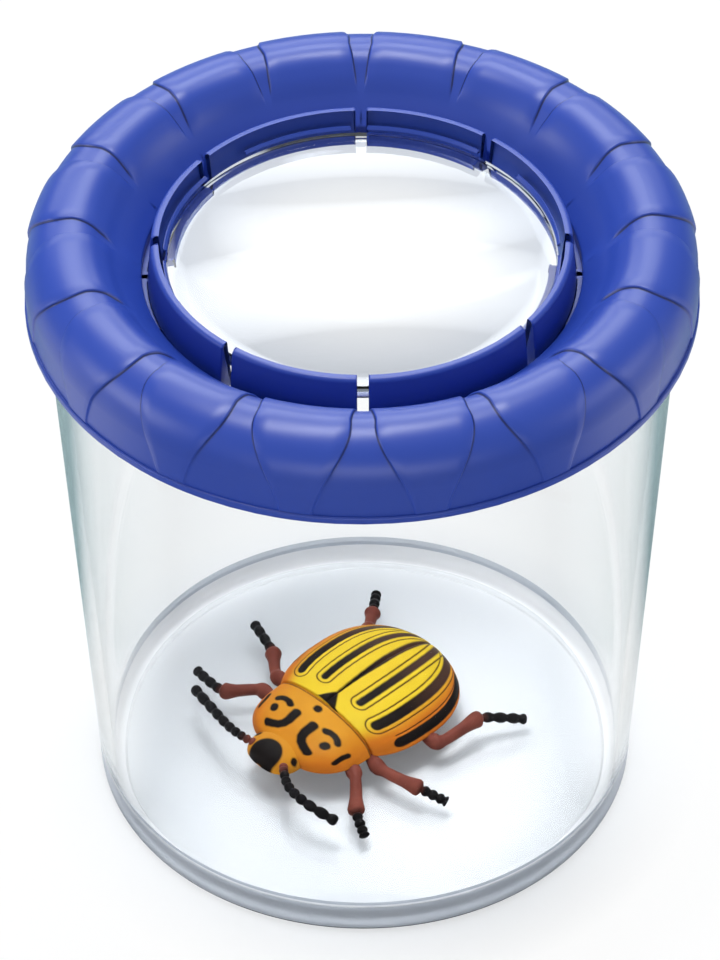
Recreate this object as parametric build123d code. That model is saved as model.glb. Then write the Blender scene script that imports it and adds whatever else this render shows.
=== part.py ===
"""Bug catcher jar: clear cup, push-on lid ring, snap-in magnifier lens and a toy beetle.

Millimetres, +Z up. The origin is the middle of the foot that the cup stands on.
"""
from build123d import *
import math
import os

# Clear cup
cup_height = 71.4
cup_base_radius = 29.4
cup_draft_angle = 3.1
cup_wall = 1.4
cup_floor = 1.5
foot_recess = 0.5
foot_width = 2.2
cup_inner_corner = 1.7
cup_outer_corner = 0.9
cup_mouth_round = 0.4

# Lid ring: outer form
skirt_depth = 5.8
skirt_gap = 0.35
skirt_wall = 1.1
rim_bead_height = 0.9
rim_bead_proud = 0.30
rim_bead_round = 0.25
ring_rise = 3.65
ring_shoulder = 4.85
ring_inner_round = 3.2
ring_slope_angle = 45.0
ring_crest_flat = 0.1
ring_shell = 1.4

# Lid ring: how it holds on the cup's mouth
plug_gap = 0.25
plug_wall = 1.2
plug_depth = 5.2
grip_rib_count = 12
grip_rib_width = 0.8
grip_rib_gap = 0.12

# Grip pads round the lid ring
pad_count = 16
pad_proud = 0.26
pad_depth = 0.5
pad_fade_sink = 0.05
pad_fade_start = 0.1
pad_fade_end = 0.45
pad_bottom_half_width = 1.5
pad_shoulder_half_width = 2.7
pad_top_half_width = 4.5
pad_crest_half_width = 4.6
pad_top_run = 3.64
pad_crest_run = 6.8
pad_end_run = 14.5

# Magnifier lens
lens_radius = 20.3
lens_flange_width = 1.4
lens_edge = 1.6
lens_top_crown = 1.9
lens_under_crown = 1.0

# Collar of snap fingers that holds the lens
lens_side_gap = 0.15
lens_top_gap = 0.1
lens_seat_below_mouth = 2.2
collar_wall = 1.35
collar_rise = 1.7
collar_round = 0.35
collar_groove = 1.0
groove_below_seat = 1.0
web_thickness = 1.4
web_width = 1.8
ledge_thickness = 1.2
ledge_lap = 1.3
hook_lap = 0.4
hook_height = 0.5
slit_width = 1.2
slit_run_out = 0.4
finger_groups = 4
wide_finger_angle = 51.0
hook_start_angle = 3.0
hook_angle = 34.0

# Toy beetle: place on the cup's floor, and height of its parts above that floor
beetle_x = -1.7
beetle_y = 1.4
beetle_heading = 222.8
foot_clearance = 0.05
belly_height = 1.3
belly_thickness = 1.0
belly_length = 20.5
belly_half_width = 5.6
belly_middle = -1.4
leg_radius = 0.6
toe_radius = 0.42
antenna_radius = 0.36
antenna_tip_radius = 0.45

# Stations along the beetle: distance ahead of its middle, half width, height
wing_case_stations = [
    (-13.0, 1.8, 0.8),
    (-12.3, 4.1, 1.5),
    (-10.4, 6.9, 2.6),
    (-7.0, 8.9, 3.4),
    (-3.2, 9.4, 3.6),
    (0.5, 9.0, 3.4),
    (3.4, 7.6, 3.0),
]
pronotum_stations = [
    (3.4, 7.4, 2.8),
    (5.5, 7.4, 2.7),
    (8.0, 6.4, 2.4),
    (9.6, 5.2, 1.9),
    (10.4, 4.3, 1.4),
]
head_stations = [
    (10.4, 3.8, 1.6),
    (11.6, 3.4, 1.5),
    (12.9, 2.5, 1.1),
    (13.6, 1.5, 0.7),
]

# Legs, as points from the belly to the toe: ahead, to the left, height
leg_routes = [
    [(5.6, 3.0, 1.65), (6.3, 7.6, 1.65), (10.0, 11.9, 1.3), (11.3, 14.6, 0.5)],
    [(2.0, 3.5, 1.65), (3.8, 8.8, 1.65), (2.6, 14.2, 1.5), (1.2, 17.0, 0.5)],
    [(-4.0, 3.5, 1.65), (-3.6, 10.4, 1.65), (-9.5, 11.2, 1.9), (-14.1, 13.9, 0.5)],
    [(5.6, -3.0, 1.65), (5.1, -8.9, 1.65), (8.2, -12.1, 1.4), (7.7, -17.3, 0.5)],
    [(2.0, -3.5, 1.65), (2.4, -9.3, 1.65), (0.1, -12.7, 1.6), (-2.1, -18.3, 0.5)],
    [(-4.0, -3.5, 1.65), (-10.3, -7.9, 1.65), (-12.8, -9.8, 1.3), (-15.7, -12.3, 0.5)],
]

# Antennae, from the head to their tips
antenna_routes = [
    [(11.8, 2.2, 2.9), (12.9, 3.4, 3.4), (14.1, 5.6, 3.4), (14.1, 8.5, 3.0), (13.1, 12.1, 2.2)],
    [(11.8, -2.0, 2.9), (12.6, -3.2, 3.5), (12.8, -5.6, 3.6), (12.1, -9.3, 3.2), (11.0, -13.8, 2.4)],
]


def outline(corners):
    """Closed face through corners given as (across, up, rounding)."""
    count = len(corners)
    stretches = []
    for index, (across, up, rounding) in enumerate(corners):
        corner = Vector(across, up)
        back = (Vector(*corners[index - 1][:2]) - corner).normalized()
        ahead = (Vector(*corners[(index + 1) % count][:2]) - corner).normalized()
        half_turn = math.radians(back.get_angle(ahead)) / 2
        run = rounding / math.tan(half_turn)
        inward = (back + ahead).normalized()
        middle = corner + inward * (rounding / math.sin(half_turn) - rounding)
        stretches.append((corner + back * run, middle, corner + ahead * run, rounding))
    edges = []
    for index, (start, middle, end, rounding) in enumerate(stretches):
        if rounding > 0:
            edges.append(ThreePointArc(start, middle, end))
        edges.append(Line(end, stretches[(index + 1) % count][0]))
    return make_face(edges)


def turned(corners, arc=360.0, start=0.0):
    """Solid of revolution of an outline drawn as (radius, height, rounding)."""
    return Rot(0, 0, start) * revolve(Plane.XZ * outline(corners), Axis.Z, arc)


def cup_radius(height):
    """Outside radius of the cup at a height above the table."""
    return cup_base_radius + height * math.tan(math.radians(cup_draft_angle))


# Places that several pieces share
floor_top = foot_recess + cup_floor
mouth_radius = cup_radius(cup_height)
lens_seat = cup_height - lens_seat_below_mouth
hook_bottom = lens_seat + lens_edge + lens_top_gap
collar_top = cup_height + collar_rise
collar_inside = lens_radius + lens_side_gap
collar_outside = collar_inside + collar_wall
groove_floor = lens_seat - groove_below_seat
groove_outside = collar_outside + collar_groove
web_bottom = groove_floor - web_thickness
web_outside = groove_outside + web_width
rim_height = cup_height - skirt_depth
skirt_inside = mouth_radius + skirt_gap
skirt_outside = skirt_inside + skirt_wall
crest_height = cup_height + ring_rise
crest_radius = skirt_outside - ring_shoulder
plug_bottom = cup_height - plug_depth
plug_outside = cup_radius(plug_bottom) - cup_wall - plug_gap
plug_inside = plug_outside - plug_wall


def make_cup():
    """Tapered clear cup with a thick floor, a foot ring and a rounded mouth."""
    inner_base = cup_radius(floor_top) - cup_wall
    inner_mouth = mouth_radius - cup_wall
    foot_inside = cup_base_radius - foot_width
    return turned(
        [
            (0, foot_recess, 0),
            (foot_inside - foot_recess, foot_recess, 0),
            (foot_inside, 0, 0),
            (cup_base_radius, 0, cup_outer_corner),
            (mouth_radius, cup_height, cup_mouth_round),
            (inner_mouth, cup_height, cup_mouth_round),
            (inner_base, floor_top, cup_inner_corner),
            (0, floor_top, 0),
        ]
    )


def ring_slope(radius, inset=0.0):
    """Height of the ring's inner slope at a radius, or of a line inset below it."""
    slope = math.radians(ring_slope_angle)
    top = crest_radius - ring_crest_flat - ring_inner_round * math.tan(slope / 2)
    return crest_height - (top - radius) * math.tan(slope) - inset / math.cos(slope)


def slope_radius(height, inset=0.0):
    """Radius at which the inner slope, or its inset line, has a height."""
    slope = math.radians(ring_slope_angle)
    return crest_radius + (height - ring_slope(crest_radius, inset)) / math.tan(slope)


def make_ring_shell():
    """Puffed ring, hollow from below, with its skirt, plug, web and collar wall."""
    under_crest = crest_height - ring_shell
    return turned(
        [
            (skirt_inside, rim_height, 0),
            (skirt_outside + rim_bead_proud, rim_height, rim_bead_round),
            (skirt_outside + rim_bead_proud, rim_height + rim_bead_height, rim_bead_round),
            (skirt_outside, rim_height + rim_bead_height, 0),
            (skirt_outside, crest_height, ring_shoulder),
            (slope_radius(crest_height), crest_height, ring_inner_round),
            (groove_outside, ring_slope(groove_outside), collar_round),
            (groove_outside, groove_floor, 0),
            (collar_outside, groove_floor, 0),
            (collar_outside, collar_top, collar_round),
            (collar_inside, collar_top, collar_round),
            (collar_inside, web_bottom, 0),
            (web_outside, web_bottom, 0),
            (web_outside, ring_slope(web_outside, ring_shell), 0),
            (slope_radius(under_crest, ring_shell), under_crest, ring_inner_round - ring_shell),
            (plug_inside, under_crest, 0),
            (plug_inside, plug_bottom, 0),
            (plug_outside, plug_bottom, 0),
            (plug_outside, cup_height, 0),
            (skirt_inside, cup_height, 0),
        ]
    )


def make_grip_ribs():
    """Upright ribs inside the skirt that grip the outside of the cup's mouth."""
    rib_inside = mouth_radius + grip_rib_gap
    rib_depth = skirt_inside - rib_inside + skirt_wall / 2
    rib_height = cup_height - rim_height - rim_bead_height
    rib = Box(rib_depth, grip_rib_width, rib_height, align=(Align.MIN, Align.CENTER, Align.MAX))
    return [
        Rot(0, 0, 360 / grip_rib_count * (index + 0.5)) * Pos(rib_inside, 0, cup_height) * rib
        for index in range(grip_rib_count)
    ]


def make_grip_pads():
    """Raised pads, wide on the crest and tapering down the wall, as one band cut to shape."""
    crest_top = crest_height + pad_proud
    wall_face = skirt_outside + pad_proud
    inner_round = ring_inner_round + pad_proud
    slope = math.radians(ring_slope_angle)
    corner_radius = slope_radius(crest_top, -pad_proud)
    slope_start = corner_radius - inner_round * math.tan(slope / 2) * math.cos(slope)
    slope_run = slope_start - groove_outside
    fade_start = slope_start - pad_fade_start * slope_run
    fade_end = slope_start - pad_fade_end * slope_run
    band = turned(
        [
            (skirt_outside - pad_depth, rim_height + rim_bead_height / 2, 0),
            (wall_face, rim_height + rim_bead_height / 2, 0),
            (wall_face, crest_top, ring_shoulder + pad_proud),
            (corner_radius, crest_top, inner_round),
            (fade_start, ring_slope(fade_start, -pad_proud), 0),
            (fade_end, ring_slope(fade_end, pad_fade_sink), 0),
            (fade_end, ring_slope(fade_end, pad_depth), 0),
            (slope_radius(crest_height - pad_depth, pad_depth), crest_height - pad_depth, 0),
            (crest_radius, crest_height - pad_depth, 0),
            (skirt_outside - pad_depth, crest_height - ring_shoulder, 0),
        ],
        arc=360 / pad_count,
        start=-180 / pad_count,
    )
    shoulder = Plane(
        origin=(skirt_outside, 0, crest_height - ring_shoulder),
        x_dir=(0, 1, 0),
        z_dir=(1, 0, 1),
    )
    wall_run = skirt_depth / math.sqrt(2)
    half_points = [
        (pad_bottom_half_width, -wall_run),
        (pad_shoulder_half_width, 0),
        (pad_top_half_width, pad_top_run),
        (pad_crest_half_width, pad_crest_run),
    ]
    right = Spline(*half_points)
    left = Spline(*[(-across, up) for across, up in half_points])
    cap = Polyline(
        (pad_crest_half_width, pad_crest_run),
        (pad_crest_half_width, pad_end_run),
        (-pad_crest_half_width, pad_end_run),
        (-pad_crest_half_width, pad_crest_run),
    )
    base = Line((-pad_bottom_half_width, -wall_run), (pad_bottom_half_width, -wall_run))
    shape = make_face([*right.edges(), *cap.edges(), *left.edges(), *base.edges()])
    cutter = extrude(shoulder * shape, amount=skirt_outside, both=True)
    pad = band & cutter
    return [Rot(0, 0, 360 / pad_count * (index + 0.5)) * pad for index in range(pad_count)]


def finger_starts():
    """Angles at which the wide snap fingers begin, one in each group."""
    return [360 / finger_groups * index for index in range(finger_groups)]


def make_lens_ledges():
    """Ledges under the lens, one on each narrow finger."""
    ledge = [
        (collar_inside - ledge_lap, lens_seat - ledge_thickness, 0),
        (collar_inside + collar_wall / 2, lens_seat - ledge_thickness, 0),
        (collar_inside + collar_wall / 2, lens_seat, 0),
        (collar_inside - ledge_lap, lens_seat, 0),
    ]
    narrow = 360 / finger_groups - wide_finger_angle
    return [turned(ledge, narrow, start + wide_finger_angle) for start in finger_starts()]


def make_lens_hooks():
    """Small hooks over the lens: full width on narrow fingers, part width on wide ones."""
    hook = [
        (collar_inside - hook_lap, hook_bottom, 0),
        (collar_inside + collar_wall / 2, hook_bottom, 0),
        (collar_inside + collar_wall / 2, hook_bottom + hook_height, 0),
        (collar_inside, hook_bottom + hook_height, 0),
    ]
    narrow = 360 / finger_groups - wide_finger_angle
    hooks = []
    for start in finger_starts():
        hooks.append(turned(hook, hook_angle, start + hook_start_angle))
        hooks.append(turned(hook, narrow, start + wide_finger_angle))
    return hooks


def make_vent_slits():
    """Slits that part the collar into fingers and let air into the cup."""
    length = collar_outside + slit_run_out - (collar_inside - ledge_lap) + slit_run_out
    height = collar_top - web_bottom + 2 * web_thickness
    slit = Pos(collar_outside + slit_run_out, 0, web_bottom - web_thickness) * Box(
        length, slit_width, height, align=(Align.MAX, Align.CENTER, Align.MIN)
    )
    angles = []
    for start in finger_starts():
        angles.append(start)
        angles.append(start + wide_finger_angle)
    return [Rot(0, 0, angle) * slit for angle in angles]


def make_lid_ring():
    """One moulding: puffed ring, grip pads, skirt, plug and the collar of snap fingers."""
    ring = make_ring_shell()
    ring = ring.fuse(*make_grip_ribs(), *make_lens_ledges(), *make_lens_hooks())
    ring = ring.fuse(*make_grip_pads())
    return ring.cut(*make_vent_slits())


def make_lens():
    """Clear lens, crowned on both sides, with a flat flange round it."""
    crown_radius = lens_radius - lens_flange_width
    bottom = lens_seat
    top = lens_seat + lens_edge
    edges = [
        Line((0, bottom - lens_under_crown), (0, top + lens_top_crown)),
        crown_arc(crown_radius, top, lens_top_crown),
        Polyline((crown_radius, top), (lens_radius, top), (lens_radius, bottom), (crown_radius, bottom)),
        crown_arc(crown_radius, bottom, -lens_under_crown),
    ]
    return revolve(Plane.XZ * make_face([edge for line in edges for edge in line.edges()]), Axis.Z)


def crown_arc(edge_radius, edge_height, rise):
    """Half of a lens surface, from its middle out to its edge."""
    ball = (edge_radius**2 + rise**2) / (2 * abs(rise))
    half = math.asin(edge_radius / ball) / 2
    side = math.copysign(1, rise)
    centre = edge_height + rise - side * ball
    return ThreePointArc(
        (0, edge_height + rise),
        (ball * math.sin(half), centre + side * ball * math.cos(half)),
        (edge_radius, edge_height),
    )


beetle_place = Pos(beetle_x, beetle_y, floor_top + foot_clearance) * Rot(0, 0, beetle_heading)
shell_bottom = belly_height + belly_thickness


def domed_body(stations):
    """Solid with a flat underside whose sections are half ellipses."""
    sections = []
    for ahead, half_width, height in stations:
        plane = Plane(origin=(ahead, 0, shell_bottom), x_dir=(0, 1, 0), z_dir=(1, 0, 0))
        arch = EllipticalCenterArc((0, 0), half_width, height, start_angle=0, arc_size=180)
        base = Line((-half_width, 0), (half_width, 0))
        sections.append(plane * make_face([*arch.edges(), *base.edges()]))
    return loft(sections)


def limb(route, thick, thin):
    """Tapered limb of round sections, one at each point of its route."""
    points = [Vector(*point) for point in route]
    last = len(points) - 1
    sections = []
    for index, point in enumerate(points):
        along = points[min(index + 1, last)] - points[max(index - 1, 0)]
        plane = Plane(origin=point, x_dir=(-along.Y, along.X, 0), z_dir=along)
        sections.append(plane * Circle(thick + (thin - thick) * index / last))
    return loft(sections, ruled=True)


def make_beetle_shell():
    """Upper half of the toy: wing case, pronotum, head and antennae in one moulding."""
    shell = domed_body(wing_case_stations)
    antennae = [limb(route, antenna_radius, antenna_tip_radius) for route in antenna_routes]
    shell = shell.fuse(domed_body(pronotum_stations), domed_body(head_stations), *antennae)
    return beetle_place * shell


def make_beetle_legs():
    """Lower half of the toy: belly plate with the six legs, glued under the shell."""
    belly = Pos(belly_middle, 0, belly_height) * extrude(
        Ellipse(belly_length / 2, belly_half_width), belly_thickness
    )
    limbs = [limb(route, leg_radius, toe_radius) for route in leg_routes]
    return beetle_place * belly.fuse(*limbs)


nodes = {
    "clear_cup": make_cup(),
    "lid_ring": make_lid_ring(),
    "magnifier_lens": make_lens(),
    "beetle_shell": make_beetle_shell(),
    "beetle_legs": make_beetle_legs(),
}

os.makedirs("parts", exist_ok=True)
for name, solid in nodes.items():
    solid.label = name
    export_step(solid, os.path.join("parts", name + ".step"))
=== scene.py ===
"""Bug catcher jar: clear cup, blue lid with a magnifier lens, and a toy beetle.

Sizes are in millimetres in the CAD frame, and make_piece writes them in metres.
"""
import math

import bmesh
import bpy
import numpy as np
from mathutils import Matrix, Vector


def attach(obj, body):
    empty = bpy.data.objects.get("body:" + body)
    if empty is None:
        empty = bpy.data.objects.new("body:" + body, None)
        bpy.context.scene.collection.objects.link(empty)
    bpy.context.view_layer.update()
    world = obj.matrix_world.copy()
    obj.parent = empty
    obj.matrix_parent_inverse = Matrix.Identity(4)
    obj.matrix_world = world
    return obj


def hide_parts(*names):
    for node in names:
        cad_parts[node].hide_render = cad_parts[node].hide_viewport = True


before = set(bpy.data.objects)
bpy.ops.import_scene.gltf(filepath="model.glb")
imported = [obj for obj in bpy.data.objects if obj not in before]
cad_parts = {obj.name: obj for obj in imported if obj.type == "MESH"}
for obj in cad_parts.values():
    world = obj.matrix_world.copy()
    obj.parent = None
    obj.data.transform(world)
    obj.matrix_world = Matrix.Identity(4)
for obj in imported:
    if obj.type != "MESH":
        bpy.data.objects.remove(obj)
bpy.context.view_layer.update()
MM = 0.001

# Clear cup
cup_height = 71.4
cup_base_radius = 29.4
cup_draft_angle = 3.1
cup_wall = 1.4
floor_top = 2.0
foot_recess = 0.5
foot_inside = 27.2
cup_inner_corner = 1.7
cup_outer_corner = 0.9
cup_mouth_round = 0.4
cup_segments = 256
cup_index = 1.45

# Slots of the cup's foot, as cup_materials lists them, and the heights at which they change. They hold
# painted shade on the foot band, a painted shadow line at its lower edge, and a painted glint on the
# inner corner with a thin line of painted shade above it
foot_shade_slot = 1
foot_edge_shadow_slot = 2
corner_glint_slot = 3
floor_slot = 4
foot_band_top = 4.0
foot_edge_top = 0.62
corner_glint_top = floor_top + cup_inner_corner - 0.15
corner_shade_line_top = 4.1
floor_slot_top = floor_top + 0.5
flat_normal = 0.97

# Lid ring
rim_height = 65.6
rim_bead_height = 0.9
rim_bead_proud = 0.30
rim_bead_round = 0.25
skirt_gap = 0.35
skirt_wall = 1.1
crest_height = 75.05
ring_shoulder = 4.85
ring_inner_round = 3.2
ring_crest_flat = 0.1
ring_shell = 1.4
plug_bottom = 66.2
plug_gap = 0.25
plug_wall = 1.2
grip_rib_count = 12
grip_rib_width = 0.8
grip_rib_gap = 0.12
grip_rib_round = 0.1

# Grip pads: half widths at runs along the shoulder, from the rim up to the crest. They stand less proud
# near the rim, where their lines of painted shade fade too, and end on the inner slope
pad_count = 16
pad_proud = 0.26
pad_edge = 0.14
pad_runs = (-4.1, 0.0, 3.64, 6.8)
pad_half_widths = (1.5, 2.7, 4.5, 4.6)
pad_fade_start = 26.9
pad_fade_end = 25.3
pad_rim_share = 0.45
pad_rim_runs = (-4.0, 1.5)
pad_shade_line_runs = (-1.5, 4.5)

# Magnifier lens
lens_radius = 20.3
lens_crown_radius = 18.9
lens_seat = 69.2
lens_edge = 1.6
lens_crown = 1.9
lens_under_crown = 1.0
lens_corner = 0.2
lens_segments = 192
lens_crown_steps = 28
lens_index = 1.49
lens_rim_shade_start = 0.3

# Collar of snap fingers
collar_inside = 20.45
collar_outside = 21.8
collar_top = 73.1
collar_round = 0.5
collar_foot_round = 0.1
collar_root_round = 0.2
groove_outside = 22.8
groove_floor = 68.2
web_bottom = 66.8
web_outside = 24.6
slit_end = 22.2
slit_width = 1.2
ledge_lap = 1.3
ledge_thickness = 1.2
ledge_round = 0.15
hook_lap = 0.4
hook_bottom = 70.9
hook_height = 0.5
hook_round = 0.12
finger_groups = 4
wide_finger_angle = 51.0
hook_start_angle = 3.0
hook_angle = 34.0
finger_chamfer = 0.12
moulded_lap = 0.1

# Toy beetle: place on the cup's floor, heights above that floor
beetle_place = (-1.7, 1.4, 2.05)
beetle_heading = 222.8
shell_bottom = 2.3
wing_rear = -13.1
wing_widest = -3.2
wing_front = 3.4
wing_half_width = 9.4
wing_height = 3.6
pronotum_front = 10.4
pronotum_half_width = 7.4
pronotum_height = 2.8
head_front = 13.6
head_middle = 11.0
head_half_width = 3.5
head_height = 1.75
belly_middle = -1.4
belly_half_length = 10.2
belly_half_width = 5.6
belly_height = 1.85
belly_half_height = 0.55
limb_sides = 16
limb_sharp = 70
paint_specular = 0.05

# Table: half its side in metres, its own colour, and those seen in reflections and through the cup
table_half = 1.5
table_white = (0.88, 0.89, 0.90)
table_front = (0.06, 0.065, 0.07)
table_behind = (0.28, 0.37, 0.38)
table_through = (0.68, 0.69, 0.715)

# Where the table's looks change: headings from the jar along Y, and distances from it in metres
front_headings = (-0.45, -0.10)
behind_headings = (0.15, 0.55)
near_white = (0.024, 0.038)
far_white = (0.1, 0.5)

# How far the table lies below the foot, so that the two do not flicker
table_drop = 0.05

# Room light: near the horizon, above, and as seen through the cup
room_low = (0.16, 0.18, 0.20)
room_high = (0.42, 0.44, 0.46)
room_through = (0.90, 0.93, 0.94)

# Camera as fitted to the photo: focal length, distance, elevation, roll and the point that it looks at
camera_lens = 208.4
camera_distance = 595.0
camera_elevation = 42.87
camera_roll = -0.37
camera_aim = (-0.35, 0.0, 39.27)
sensor_width = 36.0

# The point that the lamps turn to
lamp_aim = (0, 0, 40)

# Meshes: degrees a step on an arc, the gap kept at both ends of a straight run, and points to weld
arc_step = 7.5
run_guard = 0.12
weld_distance = 0.0005


def unit(vector):
    """The vector at length one."""
    return vector / np.linalg.norm(vector)


def smooth_step(low, high, value):
    """Zero up to low, one from high, and an even rise between."""
    share = np.clip((value - low) / (high - low), 0, 1)
    return share * share * (3 - 2 * share)


def rotated(vector, angle):
    """A flat vector turned by an angle in radians."""
    cosine = math.cos(angle)
    sine = math.sin(angle)
    return np.array([cosine * vector[0] - sine * vector[1], sine * vector[0] + cosine * vector[1]])


def corner_points(before, corner, after, rounding):
    """Points of one rounded corner of an outline."""
    if rounding == 0:
        return [corner]
    back = unit(before - corner)
    ahead = unit(after - corner)
    half_turn = math.acos(np.clip(back @ ahead, -1, 1)) / 2
    centre = corner + unit(back + ahead) * rounding / math.sin(half_turn)
    first = corner + back * rounding / math.tan(half_turn) - centre
    side = math.copysign(1, first[0] * ahead[1] - first[1] * ahead[0])
    sweep = math.pi - 2 * half_turn
    steps = max(3, math.ceil(math.degrees(sweep) / arc_step))
    return [centre + rotated(first, side * sweep * step / steps) for step in range(steps + 1)]


def rounded_outline(corners, run_step=1000.0):
    """Points of a closed outline of (across, up, rounding) corners, and the corner each belongs to."""
    spots = [np.array(corner[:2], float) for corner in corners]
    count = len(corners)
    arcs = [
        corner_points(spots[index - 1], spots[index], spots[(index + 1) % count], corners[index][2])
        for index in range(count)
    ]
    points = []
    owners = []
    for index, arc in enumerate(arcs):
        points.extend(arc)
        owners.extend([index] * len(arc))
        start = arc[-1]
        run = arcs[(index + 1) % count][0] - start
        length = np.linalg.norm(run)
        if length > 3 * run_guard:
            steps = max(2, math.ceil(length / run_step))
            inner = np.linspace(run_guard, length - run_guard, steps)
            points.extend(start + run * along / length for along in inner)
            owners.extend([index + 0.5] * len(inner))
    return np.array(points), np.array(owners)


def outline_normals(outline):
    """Outward directions of a closed outline that runs anticlockwise."""
    step = np.roll(outline, -1, axis=0) - np.roll(outline, 1, axis=0)
    step /= np.linalg.norm(step, axis=1, keepdims=True)
    return np.stack([step[:, 1], -step[:, 0]], axis=1)


def grid_faces(rows, columns, around_rows=False, around_columns=False):
    """Quads of a grid of points, closed round its rows or columns if asked."""
    faces = []
    for row in range(rows if around_rows else rows - 1):
        here = row * columns
        there = (row + 1) % rows * columns
        for column in range(columns if around_columns else columns - 1):
            after = (column + 1) % columns
            faces.append((here + column, there + column, there + after, here + after))
    return faces


def capped_tube(sections):
    """Mesh through closed sections of equal point counts, capped at both ends."""
    rows, columns = sections.shape[:2]
    faces = grid_faces(rows, columns, around_columns=True)
    faces.append(tuple(range(columns)))
    faces.append(tuple(range((rows - 1) * columns, rows * columns)))
    return sections.reshape(-1, 3), faces


def turned_sections(outline, turns):
    """The outline stood up at each angle round the axis."""
    across, up = outline[:, 0], outline[:, 1]
    sides = [np.outer(np.cos(turns), across), np.outer(np.sin(turns), across)]
    return np.stack([*sides, np.tile(up, (len(turns), 1))], axis=2)


def lathe(outline, segments):
    """Mesh of a closed outline turned round the upright axis."""
    turns = np.arange(segments) * 2 * math.pi / segments
    sections = turned_sections(outline, turns)
    return sections.reshape(-1, 3), grid_faces(segments, len(outline), True, True)


def joined(meshes):
    """Several meshes as one list of points and one of faces."""
    points = []
    faces = []
    for part_points, part_faces in meshes:
        base = sum(len(block) for block in points)
        points.append(part_points)
        faces.extend(tuple(base + corner for corner in face) for face in part_faces)
    return np.concatenate(points), faces


def add_object(name, data):
    """A new object in the scene."""
    item = bpy.data.objects.new(name, data)
    bpy.context.scene.collection.objects.link(item)
    return item


def make_piece(name, shape, material, body, node, sharp, marks=None):
    """A mesh object that rides on a body and stands for a CAD node."""
    points, faces = shape
    mesh = bpy.data.meshes.new(name)
    mesh.from_pydata((np.asarray(points) * MM).tolist(), [], faces)
    for mark, values in (marks or {}).items():
        layer = mesh.attributes.new(mark, "FLOAT", "POINT")
        layer.data.foreach_set("value", np.asarray(values, np.float32).ravel())
    work = bmesh.new()
    work.from_mesh(mesh)
    bmesh.ops.remove_doubles(work, verts=work.verts, dist=weld_distance * MM)
    bmesh.ops.recalc_face_normals(work, faces=work.faces)
    work.to_mesh(mesh)
    work.free()
    mesh.shade_smooth()
    mesh.set_sharp_from_angle(angle=math.radians(sharp))
    mesh.materials.append(material)
    piece = add_object(name, mesh)
    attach(piece, body)
    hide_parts(node)
    return piece


# Materials

def new_material(name):
    """A node material, its shader and its node tree."""
    material = bpy.data.materials.new(name)
    material.use_nodes = True
    tree = material.node_tree
    return material, tree.nodes["Principled BSDF"], tree


def noise(tree, scale, detail=3.0, stretch=(1, 1, 1)):
    """Noise in object space, features per metre."""
    coords = tree.nodes.new("ShaderNodeTexCoord")
    mapping = tree.nodes.new("ShaderNodeMapping")
    mapping.inputs["Scale"].default_value = stretch
    texture = tree.nodes.new("ShaderNodeTexNoise")
    texture.inputs["Scale"].default_value = scale
    texture.inputs["Detail"].default_value = detail
    tree.links.new(coords.outputs["Object"], mapping.inputs["Vector"])
    tree.links.new(mapping.outputs["Vector"], texture.inputs["Vector"])
    return texture.outputs["Fac"]


def ranged(tree, value, low, high, from_low=0.0, from_high=1.0):
    """A value mapped onto a new range and held inside it."""
    node = tree.nodes.new("ShaderNodeMapRange")
    node.inputs["From Min"].default_value = from_low
    node.inputs["From Max"].default_value = from_high
    node.inputs["To Min"].default_value = low
    node.inputs["To Max"].default_value = high
    tree.links.new(value, node.inputs["Value"])
    return node.outputs["Result"]


def mixed(tree, share, first, second):
    """Two colours, or sockets that carry them, mixed by a share."""
    node = tree.nodes.new("ShaderNodeMix")
    node.data_type = "RGBA"
    tree.links.new(share, node.inputs["Factor"])
    for socket, colour in ((node.inputs["A"], first), (node.inputs["B"], second)):
        if isinstance(colour, tuple):
            socket.default_value = (*colour, 1)
        else:
            tree.links.new(colour, socket)
    return node.outputs["Result"]


def combined(tree, operation, first, second):
    """Two values joined by a math operation."""
    node = tree.nodes.new("ShaderNodeMath")
    node.operation = operation
    tree.links.new(first, node.inputs[0])
    tree.links.new(second, node.inputs[1])
    return node.outputs[0]


def seen_through(tree, path):
    """One where the camera looks straight through clear plastic, zero for light on its way elsewhere."""
    unscattered = ranged(tree, path.outputs["Diffuse Depth"], 1.0, 0.0)
    unreflected = ranged(tree, path.outputs["Glossy Depth"], 1.0, 0.0)
    straight = combined(tree, "MULTIPLY", unscattered, unreflected)
    return combined(tree, "MULTIPLY", path.outputs["Is Transmission Ray"], straight)


def seen_reflected(tree, path):
    """One where the camera sees a reflection, zero for light on its way to a surface."""
    unscattered = ranged(tree, path.outputs["Diffuse Depth"], 1.0, 0.0)
    reflected = ranged(tree, path.outputs["Glossy Depth"], 0.0, 1.0)
    return combined(tree, "MULTIPLY", reflected, unscattered)


def bump(tree, shader, height, strength, distance):
    """Fine relief on the shader's normal; distance in millimetres."""
    node = tree.nodes.new("ShaderNodeBump")
    node.inputs["Strength"].default_value = strength
    node.inputs["Distance"].default_value = distance * MM
    tree.links.new(height, node.inputs["Height"])
    tree.links.new(node.outputs["Normal"], shader.inputs["Normal"])


def attribute(tree, name):
    """A value stored on the mesh's points."""
    node = tree.nodes.new("ShaderNodeAttribute")
    node.attribute_name = name
    return node.outputs["Fac"]


def facing(tree, low, high):
    """How far a surface turns edge-on, as a share between two facing values."""
    weight = tree.nodes.new("ShaderNodeLayerWeight")
    weight.inputs["Blend"].default_value = 0.5
    return ranged(tree, weight.outputs["Facing"], 0.0, 1.0, low, high)


def set_surface(tree, shader, colour, mottle, smoothest, roughest):
    """Base colour, and a roughness that a noise moves between two values."""
    tree.links.new(colour, shader.inputs["Base Color"])
    tree.links.new(ranged(tree, mottle, smoothest, roughest), shader.inputs["Roughness"])


def set_clear(shader, index, share=1.0):
    """Light passes through the shader, bent by an index, for a share of the surface's light."""
    shader.inputs["Transmission Weight"].default_value = share
    shader.inputs["IOR"].default_value = index


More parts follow.
